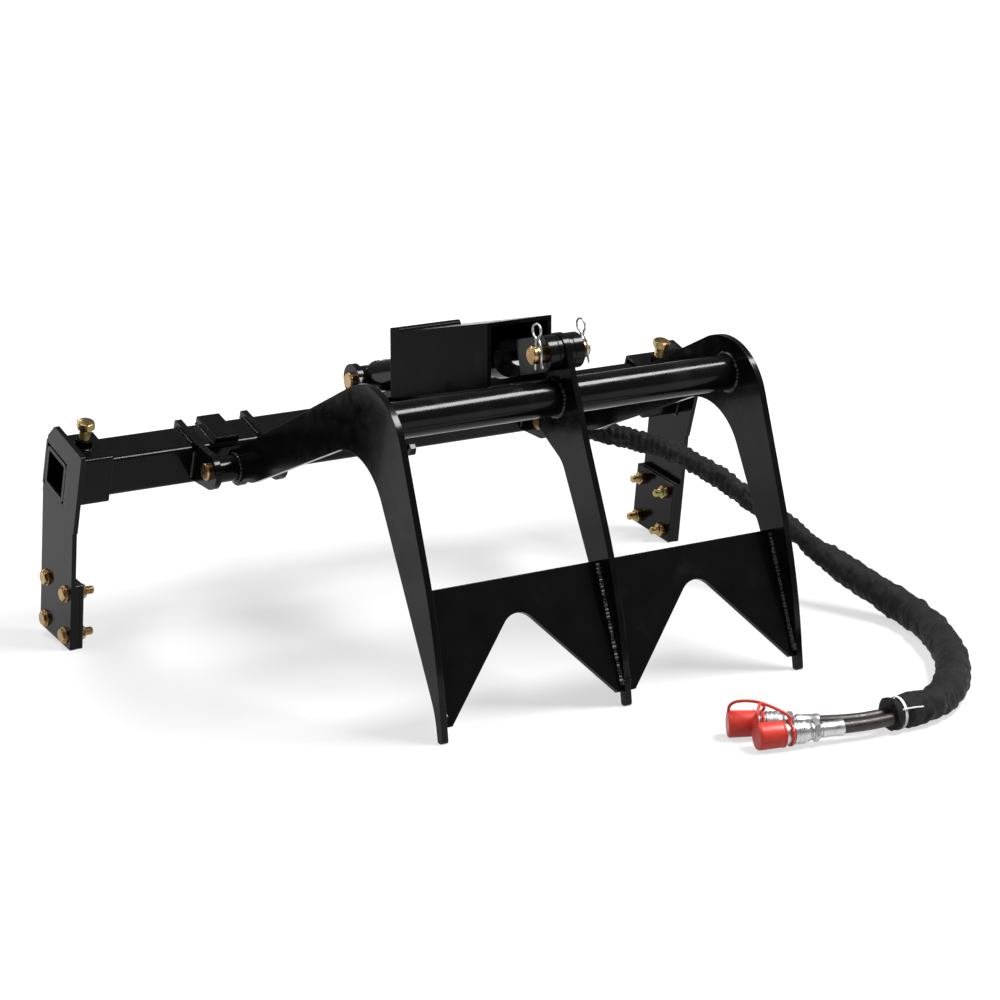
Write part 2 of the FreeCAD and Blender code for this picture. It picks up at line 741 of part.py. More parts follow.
print("shift", [round(c, 4) for c in shift])
print("overall", [round(c, 3) for c in (limits.XLength, limits.YLength, limits.ZLength)])
print("hinge", [round(c, 3) for c in V(0, hinge_y, hinge_z) + shift])
print("base pin", [round(c, 3) for c in base + shift])
print("rod pin", [round(c, 3) for c in V(0, rod_y, rod_z) + shift], "ahead", [round(c, 5) for c in ahead])
pattern_y = (leg_front + leg_back) / 2
pattern_z = bolt_low - leg_drop + bolt_spacing / 2
turn = math.radians(leg_tilt)
centre = V(0, pattern_y * math.cos(turn) - pattern_z * math.sin(turn),
           tube_height + pattern_y * math.sin(turn) + pattern_z * math.cos(turn)) + shift
right_centre = settled(Part.Vertex(centre)).Point
nut_face = leg_sheet + 2 * stack_plate + nut_height
print("stud patterns", [round(c, 3) for c in centre], [round(c, 3) for c in right_centre])
print("left x", round(left_leg_face + nut_face + shift.x, 3), "right x", round(right_leg_face - nut_face + shift.x, 3),
      "pcd", round(bolt_spacing * math.sqrt(2), 3))
print("outer faces", round(left_leg_face + shift.x, 3), round(right_leg_face + shift.x, 3))
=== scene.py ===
import bpy
import bmesh
import json
import math
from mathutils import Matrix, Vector, noise


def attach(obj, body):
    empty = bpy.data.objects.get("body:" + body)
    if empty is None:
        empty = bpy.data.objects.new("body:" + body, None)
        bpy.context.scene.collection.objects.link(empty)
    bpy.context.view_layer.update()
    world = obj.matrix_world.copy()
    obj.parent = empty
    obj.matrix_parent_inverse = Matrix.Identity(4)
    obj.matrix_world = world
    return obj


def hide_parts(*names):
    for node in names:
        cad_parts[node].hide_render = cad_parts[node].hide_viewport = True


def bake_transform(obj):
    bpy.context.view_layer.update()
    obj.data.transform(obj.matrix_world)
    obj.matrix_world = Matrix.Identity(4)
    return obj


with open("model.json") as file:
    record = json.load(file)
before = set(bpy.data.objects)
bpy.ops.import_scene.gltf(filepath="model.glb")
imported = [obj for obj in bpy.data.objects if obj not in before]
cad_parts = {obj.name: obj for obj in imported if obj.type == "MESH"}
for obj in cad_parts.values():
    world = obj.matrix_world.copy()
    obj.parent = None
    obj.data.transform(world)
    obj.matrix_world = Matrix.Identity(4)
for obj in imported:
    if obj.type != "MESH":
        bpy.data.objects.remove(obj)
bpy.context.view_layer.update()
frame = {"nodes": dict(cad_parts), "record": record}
nodes = frame["nodes"]
X = Vector((1, 0, 0))
Z = Vector((0, 0, 1))


def at(x, y, z):
    """A point given in the drawing's millimetres, as metres in the row frame."""
    return Vector(((x + 3.75) / 1000, (y + 290.6681) / 1000, z / 1000))


# Sizes that repeat the solids, in millimetres
tube_height, tube_tilt, tube_half_side = 257.5, 17.4, 31.75
leg_tilt, leg_drop = 7.7, 251.4
hinge = (-78.0, 250.0)
pipe = (-475.0, 398.0)
rod_pin = (-476.0, 462.0)
base_pin = (45.0, 322.0)
claw_half, plate = 293.0, 9.5


def turned(y, z, degrees):
    a = math.radians(degrees)
    return y * math.cos(a) - z * math.sin(a), tube_height + y * math.sin(a) + z * math.cos(a)


def on_tube(x, y, z):
    return at(x, *turned(y, z, tube_tilt))


def on_leg(x, y, z):
    return at(x, *turned(y, z, leg_tilt))


# Camera
camera = bpy.data.objects.new("camera", bpy.data.cameras.new("camera"))
camera.data.lens = 114.354
camera.data.sensor_width = 36
camera.data.clip_end = 60
camera.location = at(-2328.9, -4050.9, 1425.5)
camera.rotation_euler = (math.radians(90 - 15.4), 0, math.radians(-32))
bpy.context.scene.collection.objects.link(camera)
bpy.context.scene.camera = camera


# Materials
def material(name, **values):
    """A new material, its node tree and its shader, with values set on the shader's sockets."""
    m = bpy.data.materials.new(name)
    m.use_nodes = True
    shader = m.node_tree.nodes["Principled BSDF"]
    for key, value in values.items():
        socket = shader.inputs[key.replace("_", " ")]
        socket.default_value = (*value, 1) if isinstance(value, tuple) else value
    return m, m.node_tree, shader


def add(tree, kind, **values):
    node = tree.nodes.new(kind)
    for key, value in values.items():
        if key in node.inputs:
            node.inputs[key].default_value = value
        else:
            setattr(node, key, value)
    return node


def spots(tree, scale, detail=3.0, coords="Object", stretch=None):
    """Noise over the surface, by object position or by the piece's own lengthwise coordinates."""
    place = tree.nodes.new("ShaderNodeTexCoord").outputs[coords]
    if stretch:
        move = tree.nodes.new("ShaderNodeMapping")
        move.inputs["Scale"].default_value = stretch
        tree.links.new(place, move.inputs["Vector"])
        place = move.outputs["Vector"]
    node = add(tree, "ShaderNodeTexNoise", Scale=scale, Detail=detail)
    tree.links.new(place, node.inputs["Vector"])
    return node.outputs["Fac"]


def ramp(tree, source, stops):
    """Colours by the value of a source, given as (place, colour) stops."""
    node = tree.nodes.new("ShaderNodeValToRGB")
    while len(node.color_ramp.elements) < len(stops):
        node.color_ramp.elements.new(0.5)
    for element, (place, colour) in zip(node.color_ramp.elements, stops):
        element.position = place
        element.color = (*colour, 1)
    tree.links.new(source, node.inputs["Fac"])
    return node.outputs["Color"]


def spread(tree, source, low, high, start=0.3, end=0.7):
    """Maps a source from start..end to low..high."""
    node = add(tree, "ShaderNodeMapRange")
    for key, value in (("From Min", start), ("From Max", end), ("To Min", low), ("To Max", high)):
        node.inputs[key].default_value = value
    tree.links.new(source, node.inputs["Value"])
    return node.outputs["Result"]


def bump(tree, shader, heights, soft_edge=0.0):
    """Stacks bumps given as (source, strength, distance); soft_edge rounds sharp edges for the light."""
    last = None
    if soft_edge:
        last = add(tree, "ShaderNodeBevel", samples=4, Radius=soft_edge).outputs["Normal"]
    for source, strength, distance in heights:
        node = add(tree, "ShaderNodeBump", Strength=strength, Distance=distance)
        tree.links.new(source, node.inputs["Height"])
        if last:
            tree.links.new(last, node.inputs["Normal"])
        last = node.outputs["Normal"]
    tree.links.new(last, shader.inputs["Normal"])


def black_coat(name, peel=1.0, shine=1.0):
    """Black gloss paint with orange peel; shine sets how strongly it mirrors the room."""
    m, tree, shader = material(name, Specular_IOR_Level=0.10 * shine, Coat_Weight=0.09 * shine,
                               Coat_Roughness=0.05)
    tint = ramp(tree, spots(tree, 22, 4), [(0.3, (0.0030, 0.0030, 0.0034)),
                                           (0.62, (0.0045, 0.0045, 0.005)),
                                           (0.74, (0.008, 0.008, 0.0085))])
    tree.links.new(tint, shader.inputs["Base Color"])
    tree.links.new(spread(tree, spots(tree, 48, 5), 0.11, 0.22), shader.inputs["Roughness"])
    fine_peel = (spots(tree, 620, 1), 0.07 * peel, 0.0006)
    slow_waves = (spots(tree, 90, 2), 0.04 * peel, 0.002)
    bump(tree, shader, [fine_peel, slow_waves], soft_edge=0.0018)
    return m


coat = black_coat("black_coat")
# the weld beads take a copy of the black paint that mirrors the room 2.5 times as strongly: painted glints;
# their stronger orange peel is real lumpiness
weld_coat_painted_glint = black_coat("weld_coat_painted_glint", 2.5, 2.5)
# the guard takes a copy of the black paint that mirrors the room at 0.15 strength: painted shade that
# darkens its faces
guard_coat_painted_shade = black_coat("guard_coat_painted_shade", 1.0, 0.15)

yellow, tree, shader = material("yellow_zinc", Metallic=1.0)
tint = ramp(tree, spots(tree, 95, 4), [(0.32, (0.27, 0.33, 0.11)), (0.44, (0.40, 0.27, 0.12)),
                                       (0.56, (0.46, 0.30, 0.14)), (0.68, (0.50, 0.21, 0.15))])
tree.links.new(tint, shader.inputs["Base Color"])
tree.links.new(spread(tree, spots(tree, 240, 4), 0.2, 0.42), shader.inputs["Roughness"])
bump(tree, shader, [(spots(tree, 1500, 2), 0.10, 0.0003)], soft_edge=0.0005)

bright, tree, shader = material("bright_zinc", Metallic=1.0)
tint = ramp(tree, spots(tree, 130, 4), [(0.3, (0.48, 0.48, 0.49)), (0.7, (0.64, 0.64, 0.65))])
tree.links.new(tint, shader.inputs["Base Color"])
tree.links.new(spread(tree, spots(tree, 160, 3), 0.32, 0.44), shader.inputs["Roughness"])
bump(tree, shader, [(spots(tree, 260, 1), 0.015, 0.0001)])

chrome, tree, shader = material("rod_chrome", Base_Color=(0.74, 0.75, 0.77), Metallic=1.0)
tree.links.new(spread(tree, spots(tree, 400, 4), 0.05, 0.13), shader.inputs["Roughness"])
bump(tree, shader, [(spots(tree, 1200, 1), 0.03, 0.0002)])

rubber, tree, shader = material("hose_rubber", Specular_IOR_Level=0.45)
tint = ramp(tree, spots(tree, 60, 4), [(0.3, (0.020, 0.012, 0.010)), (0.7, (0.042, 0.026, 0.022))])
tree.links.new(tint, shader.inputs["Base Color"])
tree.links.new(spread(tree, spots(tree, 200, 4), 0.3, 0.5), shader.inputs["Roughness"])
bump(tree, shader, [(spots(tree, 900, 2), 0.2, 0.0005)])

woven, tree, shader = material("woven_sleeve", Specular_IOR_Level=0.18, Sheen_Weight=0.03,
                               Sheen_Roughness=0.5)
tint = ramp(tree, spots(tree, 30, 4), [(0.3, (0.0050, 0.0048, 0.005)), (0.7, (0.012, 0.0115, 0.0115))])
tree.links.new(tint, shader.inputs["Base Color"])
tree.links.new(spread(tree, spots(tree, 70, 4), 0.5, 0.72), shader.inputs["Roughness"])
lengthwise = tree.nodes.new("ShaderNodeTexCoord").outputs["UV"]
threads = []
for direction in ("X", "Y"):
    wave = add(tree, "ShaderNodeTexWave", bands_direction=direction, Scale=1.0, Distortion=0.6)
    wave.inputs["Detail Scale"].default_value = 3.0
    tree.links.new(lengthwise, wave.inputs["Vector"])
    threads.append(wave.outputs["Fac"])
mixed = add(tree, "ShaderNodeMath", operation="MAXIMUM")
tree.links.new(threads[0], mixed.inputs[0])
tree.links.new(threads[1], mixed.inputs[1])
bump(tree, shader, [(mixed.outputs[0], 0.55, 0.0006), (spots(tree, 260, 3), 0.3, 0.001)])

red, tree, shader = material("red_plastic", Specular_IOR_Level=0.4)
tint = ramp(tree, spots(tree, 80, 4), [(0.3, (0.66, 0.040, 0.026)), (0.7, (0.78, 0.058, 0.036))])
tree.links.new(tint, shader.inputs["Base Color"])
tree.links.new(spread(tree, spots(tree, 220, 4), 0.34, 0.5), shader.inputs["Roughness"])
bump(tree, shader, [(spots(tree, 700, 3), 0.12, 0.0004)], soft_edge=0.0006)

white, tree, shader = material("white_tie")
tint = ramp(tree, spots(tree, 120, 3), [(0.3, (0.74, 0.74, 0.72)), (0.7, (0.84, 0.84, 0.82))])
tree.links.new(tint, shader.inputs["Base Color"])
tree.links.new(spread(tree, spots(tree, 300, 3), 0.4, 0.55), shader.inputs["Roughness"])

finish_of = {"black_coat": coat, "yellow_zinc": yellow, "bright_zinc": bright, "rod_chrome": chrome,
             "hose_rubber": rubber, "woven_sleeve": woven, "white_tie": white, "red_plastic": red}
for part in frame["record"]["subparts"]:
    mesh = nodes[part["node"]].data
    mesh.materials.clear()
    mesh.materials.append(finish_of[part["material_slot"]])
# the dimmed copy of the black paint darkens the guard as painted shade
nodes["cylinder_guard"].data.materials[0] = guard_coat_painted_shade


# Building blocks
class Piece:
    """A mesh that is put together from rings, then rides on a body."""

    def __init__(self, name):
        self.name = name
        self.mesh = bmesh.new()

    def rings(self, rings, closed=False, caps=True):
        made = [[self.mesh.verts.new(v) for v in ring] for ring in rings]
        pairs = list(zip(made, made[1:])) + ([(made[-1], made[0])] if closed else [])
        for a, b in pairs:
            for i in range(len(a)):
                j = (i + 1) % len(a)
                self.mesh.faces.new((a[i], a[j], b[j], b[i]))
        if caps and not closed:
            self.mesh.faces.new(list(reversed(made[0])))
            self.mesh.faces.new(made[-1])
        return made

    def turned(self, start, axis, profile, around=40, shape=None):
        """Turns (distance, radius) steps in millimetres round an axis; shape caps the radius by angle."""
        axis = axis.normalized()
        side = axis.orthogonal().normalized()
        up = axis.cross(side)
        rings = []
        for distance, radius in profile:
            ring = []
            for i in range(around):
                angle = 2 * math.pi * i / around
                r = min(radius, shape(angle)) if shape else radius
                ring.append(start + axis * (distance / 1000)
                            + (side * math.cos(angle) + up * math.sin(angle)) * (r / 1000))
            rings.append(ring)
        self.rings(rings)

    def hexagon(self, start, axis, flats, height, both=False):
        """Hexagon with its corners turned off at the end, or at both ends."""
        def flat_side(angle):
            turn = (angle + math.pi / 6) % (math.pi / 3) - math.pi / 6
            return flats / 2 / math.cos(turn)
        full = flats / math.sqrt(3) + 1
        bottom = [(0, flats * 0.47), (0.5, flats * 0.51), (1.6, full)] if both else [(0, full)]
        top = [(height - 1.8, full), (height - 1.2, flats * 0.552), (height - 0.5, flats * 0.51),
               (height, flats * 0.47)]
        self.turned(start, axis, bottom + top, 48, flat_side)

    def thread(self, start, axis, radius, near, far, pitch=1.75):
        """Threaded length with a short pointed end."""
        profile = []
        t = near
        while t < far - 1.6:
            profile += [(t, radius - 0.75), (t + pitch * 0.4, radius), (t + pitch * 0.6, radius)]
            t += pitch
        self.turned(start, axis, profile + [(far - 1.0, radius - 0.7), (far, radius - 1.6)], 28)

    def bead(self, points, radius, closed=False):
        """Weld bead with ripples along a line of points."""
        line = list(points) + ([points[0]] if closed else [])
        places = []
        for a, b in zip(line, line[1:]):
            count = max(1, round((b - a).length / 0.0013))
            places += [a.lerp(b, i / count) for i in range(count)]
        if not closed:
            places.append(line[-1])
        rings = []
        run = 0.0
        for i, place in enumerate(places):
            before = places[i - 1] if i or closed else place
            after = places[(i + 1) % len(places)] if i + 1 < len(places) or closed else place
            ahead = (after - before).normalized()
            side = ahead.cross(Vector((0.31, 0.52, 0.8))).normalized()
            up = ahead.cross(side)
            run += (place - before).length
            swell = 0.74 + 0.34 * abs(math.sin(run * math.pi / 0.0052)) + 0.38 * noise.noise(place * 130)
            r = radius / 1000 * swell
            rings.append([place + (side * math.cos(t) + up * math.sin(t)) * r
                          for t in (2 * math.pi * k / 8 for k in range(8))])
        self.rings(rings, closed)

    def finish(self, body, finish, slot, replaces=(), smooth=32):
        bmesh.ops.recalc_face_normals(self.mesh, faces=self.mesh.faces)
        for edge in self.mesh.edges:
            edge.smooth = edge.calc_face_angle(0) < math.radians(smooth)
        for face in self.mesh.faces:
            face.smooth = True
        data = bpy.data.meshes.new(self.name)
        self.mesh.to_mesh(data)
        self.mesh.free()
        data.materials.append(finish)
        piece = bpy.data.objects.new(self.name, data)
        bpy.context.scene.collection.objects.link(piece)
        if body:
            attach(piece, body)
        if replaces:
            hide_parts(*replaces)
        return piece


def spline(name, points, radius=0.0):
    """Smooth open NURBS line through control points, with a round section if it has a radius."""
    curve = bpy.data.curves.new(name, "CURVE")
    curve.dimensions = "3D"
    curve.resolution_u = 24
    curve.bevel_depth = radius
    curve.bevel_resolution = 6
    curve.use_fill_caps = True
    line = curve.splines.new("NURBS")
    line.points.add(len(points) - 1)
    for point, place in zip(line.points, points):
        point.co = (*place, 1)
    line.order_u = 3
    line.use_endpoint_u = True
    piece = bpy.data.objects.new(name, curve)
    bpy.context.scene.collection.objects.link(piece)
    return piece


def followed(points):
    """Points along the smooth line that a route makes."""
    line = spline("route", points)
    bpy.context.view_layer.update()
    mesh = bpy.data.meshes.new_from_object(line)
    found = [v.co.copy() for v in mesh.vertices]
    bpy.data.objects.remove(line)
    return found


def even(points, step):
    """The same line at even steps."""
    made = [points[0]]
    left = step
    for a, b in zip(points, points[1:]):
        length = (b - a).length
        done = 0.0
        while length - done >= left:
            done += left
            made.append(a.lerp(b, done / length))
            left = step
        left -= length - done
    return made


# Wrapped hose pair
wrap_route = [at(*p) for p in [
    (70, 48, 322), (135, 62, 275), (240, 60, 256), (330, 58, 214), (405, 0, 190), (440, -125, 186),
    (462, -245, 158), (493, -363, 108), (528, -460, 58), (559, -570, 23), (520, -690, 22.6),
    (455, -800, 22.6), (360, -900, 22.6), (290, -925, 22.6), (237, -921.5, 22.6)]]
wrap_line = followed(wrap_route)

sleeve_step = 0.0028    # metres between the sleeve's rings
tie_back = 0.016        # metres from the sleeve's end to its tie


def wrap_sleeve():
    """Woven sleeve with its gathers, open at the mouth where the hoses go in, flattened on the floor."""
    places = even(wrap_line, sleeve_step)
    total = len(places)
    around = 56
    rings = []
    side = None
    for i, place in enumerate(places):
        ahead = (places[min(i + 1, total - 1)] - places[max(i - 1, 0)]).normalized()
        if side is None:
            side = ahead.cross(Z).normalized()
        side = (side - ahead * side.dot(ahead)).normalized()
        up = ahead.cross(side)
        t = i / (total - 1)
        run = i * sleeve_step
        left = (total - 1 - i) * sleeve_step
        widened = min(1.0, max(0.0, (t - 0.45) / 0.2))
        base = 0.0158 + 0.0070 * widened
        base += 0.0014 * noise.noise(Vector((t * 14, 3.1, 0)))
        base -= 0.0035 * math.exp(-((t - 0.53) / 0.03) ** 2)
        # pulled in by the tie, with a cuff that opens past it
        tied = math.exp(-((left - tie_back) / 0.007) ** 2)
        base = base * (1 - tied) + 0.0196 * tied
        ring = []
        for k in range(around):
            angle = 2 * math.pi * k / around
            flat = Vector((math.cos(angle), math.sin(angle), 0)) * 1.1
            bunched = 1.0 - 0.55 * widened
            wander = noise.noise(flat + Vector((0, 0, run * 12)))
            fold = math.sin(run * 235 + 1.4 * math.sin(angle + run * 9) + 2.2 * wander)
            gather = (abs(fold) ** 0.7 - 0.55) * 0.0030 * bunched
            gather += noise.noise(Vector((flat.x * 1.4, flat.y * 1.4, run * 60))) * 0.0026
            gather += noise.noise(Vector((flat.x * 2.8, flat.y * 2.8 + 7, run * 120))) * 0.0011
            crease = max(0.0, noise.noise(Vector((flat.x * 0.9 + 4, flat.y * 0.9, run * 30)))) * 0.0045
            r = base + (gather - crease) * (1 - 0.8 * tied)
            r *= 1 + 0.05 * math.cos(2 * angle + 6 * t)
            point = place + (side * math.cos(angle) + up * math.sin(angle)) * r
            point.z = max(point.z, 0.0009 + 0.0002 * math.sin(run * 400 + angle))
            ring.append(point)
        rings.append(ring)
    mouth = (places[1] - places[0]).normalized()
    inner = [[places[0] + mouth * depth + (v - places[0]) * scale for v in rings[0]]
             for depth, scale in ((0.034, 0.80), (0.012, 0.88), (0.0, 0.95))]
    piece = Piece("wrap_sleeve")
    made = piece.rings(inner + rings)
    layer = piece.mesh.loops.layers.uv.new("along")
    order = {v: (r, k) for r, ring in enumerate(made) for k, v in enumerate(ring)}
    for face in piece.mesh.faces:
        if len(face.loops) != 4:
            continue
        columns = [order[loop.vert][1] for loop in face.loops]
        wraps = max(columns) - min(columns) > 1
        for loop, column in zip(face.loops, columns):
            column = around if wraps and column == 0 else column
            loop[layer].uv = (order[loop.vert][0] * 0.62, column * 0.62)
    return piece.finish("frame", woven, "woven_sleeve", ["hose_sleeve"], smooth=80)


sleeve = wrap_sleeve()

# Hose tails with their fittings, lying on the floor
tail_height = 19.5
tails = [[(256, -913.8), (237.5, -912), (186, -908.5), (143, -886)],
         [(268, -931.8), (235.9, -931.3), (194, -931), (155.6, -921.4)]]


def fitting_line(tail):
    """Where a tail ends and which way its fittings go on."""
    last, end = at(*tail[-2], tail_height), at(*tail[-1], tail_height)
    return end, (end - last).normalized()


# along a fitting, in metres: the strap's ring and the cap's far end
ring_place, cap_place = 0.0715, 0.1165
for number, tail in enumerate(tails):
    hand = "ab"[number]
    ferrules = Piece("crimped_ferrule_" + hand)
    hose_nuts = Piece("turned_hose_nuts_" + hand)
    couplers = Piece("turned_coupler_" + hand)
    caps = Piece("moulded_cap_" + hand)
    straps = Piece("cap_ring_" + hand)
    points = [at(x, y, tail_height) for x, y in tail]
    hose = spline("tail_" + hand, points, 0.0086)
    hose.data.materials.append(rubber)
    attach(hose, "frame")
    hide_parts("hose_tail_" + hand)
    end, line = fitting_line(tail)
    crimp = [(-5, 8.8), (-5, 10.4), (-4.2, 11.0), (2, 11.0), (3.5, 10.5), (19, 10.5), (20.5, 11.0),
             (26, 11.0), (27, 9.6), (30, 9.2)]
    ferrules.turned(end, line, crimp, 64)
    hose_nuts.hexagon(end + line * 0.030, line, 26, 9, both=True)
    hose_nuts.turned(end + line * 0.039, line, [(0, 11.5), (0.3, 12.2), (2.6, 12.2), (3, 11.4)])
    hose_nuts.hexagon(end + line * 0.042, line, 24, 4.4, both=True)
    body = [(0, 12), (0.2, 13.6), (4, 13.8), (5, 16.0), (6, 16.0)]
    for ridge in range(2):
        t = 9 + ridge * 6
        body += [(t, 16.0), (t + 0.8, 15.0), (t + 2.8, 15.0), (t + 3.6, 16.0)]
    body += [(21, 16.0), (22, 14.4), (29, 14.4), (30, 15.4), (33, 15.4), (34, 13.5), (44, 13.5)]
    couplers.turned(end + line * 0.046, line, body, 72)
    cap = [(0, 15.6), (0, 17.4), (0.7, 18.0), (3.0, 18.0), (3.8, 17.5), (34, 18.3), (36.2, 17.9),
           (37.6, 16.9), (38, 15.4), (37.8, 6), (37.8, 0.5)]
    caps.turned(end + line * 0.080, line, cap, 72)
    side = line.cross(Z).normalized()
    ring = []
    for i in range(36):
        a = 2 * math.pi * i / 36
        ring.append(end + line * ring_place + (side * math.cos(a) + Z * math.sin(a)) * 0.0160)
    straps.bead(ring, 2.2, closed=True)
    # a round strap arches from the cap over to the ring on the other coupler, so the two cross
    other_end, other_line = fitting_line(tails[1 - number])
    start = end + line * cap_place + Z * 0.0165
    stop = other_end + other_line * ring_place + Z * 0.0175
    over = start.lerp(stop, 0.4)
    route = [start, start + Z * 0.014 + line * 0.002, over + Z * 0.022, start.lerp(stop, 0.8) + Z * 0.014,
             stop - other_line * 0.004 + Z * 0.004, stop]
    loop = spline("lanyard_" + hand, route, 0.0021)
    loop.data.materials.append(red)
    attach(loop, "frame")
    on_tail = [ferrules.finish("frame", bright, "bright_zinc", ["hose_ferrules"]),
               hose_nuts.finish("frame", bright, "bright_zinc", ["hose_nuts"]),
               couplers.finish("frame", bright, "bright_zinc", ["hose_couplers"]),
               caps.finish("frame", red, "red_plastic", ["dust_caps"]),
               straps.finish("frame", red, "red_plastic", ["cap_lanyards"]), loop]

# The tie's loose end lies along the side of the sleeve
back = even(list(reversed(wrap_line)), 0.004)
tie_side = Vector((-0.45, -0.8, 0.45)).normalized()
tie_end = spline("tie_end", [back[4] + tie_side * 0.0205, back[6] + tie_side * 0.0270,
                             back[9] + tie_side * 0.0290, back[14] + tie_side * 0.0290 - Z * 0.003], 0.0012)
tie_end.data.materials.append(white)
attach(tie_end, "frame")

# Hose leads from the ports into the sleeve's mouth
lead = Vector((0.27, 0.94, -0.22)).normalized()
ahead = (at(0, *rod_pin) - at(0, *base_pin)).normalized()
for number, (place, reach) in enumerate(((58.0, 44.0), (88.0, 62.5))):
    start = at(0, *base_pin) + ahead * (place / 1000) + X * (reach / 1000) + lead * 0.021
    mouth = at(70, 48, 322) + X * (-0.007 if number == 0 else 0.007) + Z * 0.002
    inward = (wrap_route[1] - wrap_route[0]).normalized()
    points = [start, start + lead * 0.018, mouth - inward * 0.004, mouth + inward * 0.020]
    line = even(followed(points), 0.003)
    hose = Piece("port_lead_" + "ab"[number])
    rings = []
    for i, here in enumerate(line):
        along = (line[min(i + 1, len(line) - 1)] - line[max(i - 1, 0)]).normalized()
        side = along.cross(Z).normalized()
        up = along.cross(side)
        rings.append([here + (side * math.cos(a) + up * math.sin(a)) * 0.0084
                      for a in (2 * math.pi * k / 28 for k in range(28))])
    hose.rings(rings)
    hose = hose.finish(None, rubber, "hose_rubber", ["hose_leads"])
    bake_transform(hose)

# Hairpin clips
for number, x in enumerate((-38.0, 38.0)):
    y, z = rod_pin
    lean = -2 if number else 3
    points = [(0, -21), (0, -4), (0, 16), (1, 24), (9, 27), (11, 38), (0, 44.5), (-9, 40), (-11, 30),
              (-4, 24), (-12, 15), (-15.6, 3), (-14.6, -9), (-19, -16)]
    clip = spline("hairpin_" + "ab"[number],
                  [at(x + lean * max(0, b) / 44, y + a, z + b) for a, b in points], 0.0016)
    clip.data.materials.append(bright)
    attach(clip, "rod")
    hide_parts("hairpin_clips")

# Leg bolts and nuts, clamp bolts; the right leg sits back inside its sleeve's play
left_face, right_face, sleeve_length = -546.0, 525.0, 70.0
tube_back = Vector((0, math.cos(math.radians(tube_tilt)), math.sin(math.radians(tube_tilt))))
settled = {"left": Vector((0, 0, 0)), "right": tube_back * 0.0012}
left_clamp_x = left_face + sleeve_length * 0.57
right_clamp_x = right_face - sleeve_length * 0.5
bolt_middle, bolt_spacing = -10.5, 65.0
bolt_rows = (17 - leg_drop, 82 - leg_drop)
bolt_places = [(y, z) for y in (bolt_middle - bolt_spacing / 2, bolt_middle + bolt_spacing / 2)
               for z in bolt_rows]
leg_sheet, stack_plate = 7.0, 6.6
grip = leg_sheet + 2 * stack_plate
collar = [(-1.2, 11.6), (-0.8, 12.2), (0.9, 12.2), (1.2, 9)]
for hand, face, inward in (("left", left_face, 1), ("right", right_face, -1)):
    bolts = Piece(hand + "_threaded_bolts")
    nuts = Piece(hand + "_chamfered_nuts")
    for y, z in bolt_places:
        start = on_leg(face, y, z) + settled[hand]
        bolts.turned(start - X * inward * 0.0012, -X * inward, collar)
        bolts.hexagon(start - X * inward * 0.0008, -X * inward, 19, 6.6)
        bolts.turned(start, X * inward, [(0, 6), (grip + 6, 6)], 28)
        bolts.thread(start, X * inward, 6.0, grip + 6, grip + 23)
        nuts.hexagon(start + X * inward * (grip / 1000), X * inward, 19, 10, both=True)
    bolts.finish("frame", yellow, "yellow_zinc", [hand + "_leg_bolts"])
    nuts.finish("frame", yellow, "yellow_zinc", [hand + "_leg_nuts"])

lift = Vector((0, -math.sin(math.radians(tube_tilt)), math.cos(math.radians(tube_tilt))))
sleeve_top = 1.6 + 38.1
for hand, x in (("left", left_clamp_x), ("right", right_clamp_x)):
    bolt = Piece(hand + "_threaded_clamp_bolt")
    head = sleeve_top + 31.0
    moved = settled[hand]
    bolt.thread(on_tube(x, 0, 31.8) + moved, lift, 7.9, 0.2, head - 31.8, 2.3)
    bolt.turned(on_tube(x, 0, head - 1.4) + moved, lift, [(0, 11.2), (0.3, 11.6), (1.2, 11.6), (1.4, 11)])
    bolt.hexagon(on_tube(x, 0, head) + moved, lift, 23.8, 10)
    bolt.finish("frame", yellow, "yellow_zinc", [hand + "_clamp_bolt"])

# Weld beads
claw_welds = Piece("claw_welds")
down = (at(0, -648, 20) - at(0, -580, 189)).normalized()
front = down.cross(X)
for x in (-claw_half + plate / 2, -plate / 2, plate / 2, claw_half - plate / 2):
    inward = 1 if x in (-claw_half + plate / 2, plate / 2) else -1
    for face in (-1, 1):
        start = at(x + inward * 1.2, -580, 189) + front * face * 0.0048
        claw_welds.bead([start + down * 0.004, start + down * 0.174], 5.6 if inward < 0 else 3.6)
    ring = [at(x + inward * 1.0, pipe[0] + 26.4 * math.cos(a), pipe[1] + 26.4 * math.sin(a))
            for a in (2 * math.pi * k / 60 for k in range(60))]
    claw_welds.bead(ring, 3.4, closed=True)
for x in (-claw_half, claw_half):
    for face in (-1, 1):
        weld_x = x + face * (plate / 2 + 0.8)
        ring = [at(weld_x, hinge[0] + 19.9 * math.cos(a), hinge[1] + 19.9 * math.sin(a))
                for a in (2 * math.pi * k / 48 for k in range(48))]
        claw_welds.bead(ring, 3.0, closed=True)
claw_welds.finish("claw", weld_coat_painted_glint, "black_coat")

frame_welds = Piece("frame_welds")
h = tube_half_side
for middle_x in (-338.0, -230.0, 230.0, 338.0):
    for face in (-1, 1):
        x = middle_x + face * (plate / 2 + 0.6)
        frame_welds.bead([on_tube(x, -h - 0.6, -18), on_tube(x, -h - 0.6, h - 6)], 3.0)
        frame_welds.bead([on_tube(x, -h + 7, h + 0.6), on_tube(x, h - 7, h + 0.6)], 3.0)
for hand, face in ((-1, left_face + leg_sheet), (1, right_face - leg_sheet)):
    x = face - hand * 0.8
    s = 38.1
    corners = [(34, -s + 1.2), (-s - 0.4, -s + 1.2), (-s - 0.4, s + 1.8), (34, s + 1.8)]
    frame_welds.bead([on_tube(x, y, z) for y, z in corners], 2.6)
for x in (left_clamp_x, right_clamp_x):
    ring = [on_tube(x + 13.2 * math.cos(a), 13.2 * math.sin(a), sleeve_top + 0.6)
            for a in (2 * math.pi * k / 40 for k in range(40))]
    frame_welds.bead(ring, 2.0, closed=True)
